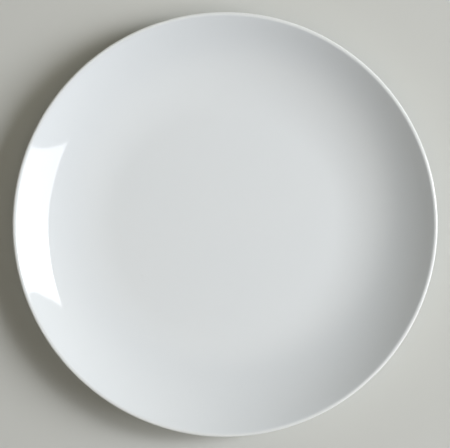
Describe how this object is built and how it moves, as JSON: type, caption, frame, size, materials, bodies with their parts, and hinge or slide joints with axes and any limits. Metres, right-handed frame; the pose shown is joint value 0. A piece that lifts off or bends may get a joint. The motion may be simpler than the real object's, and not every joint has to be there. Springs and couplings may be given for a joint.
{
  "type": "coupe plate",
  "caption": "Round white porcelain coupe plate: flat floor curving up into a flared wall with a rounded lip, on a foot ring, for serving food.",
  "frame": {"origin": "On the plate's axis, in the plane of the foot ring's land that it stands on.", "axes": "+Z is the plate's axis of revolution and points up, out of the well. +X and +Y lie in the plane that it stands on; the plate is the same all round."},
  "size_m": [0.27, 0.27, 0.025],
  "materials": {
    "glazed_porcelain": "clear gloss glaze over white porcelain, with the foot ring's land left unglazed"
  },
  "bodies": {
    "root": {"plate": "glazed_porcelain"}
  },
  "joints": []
}
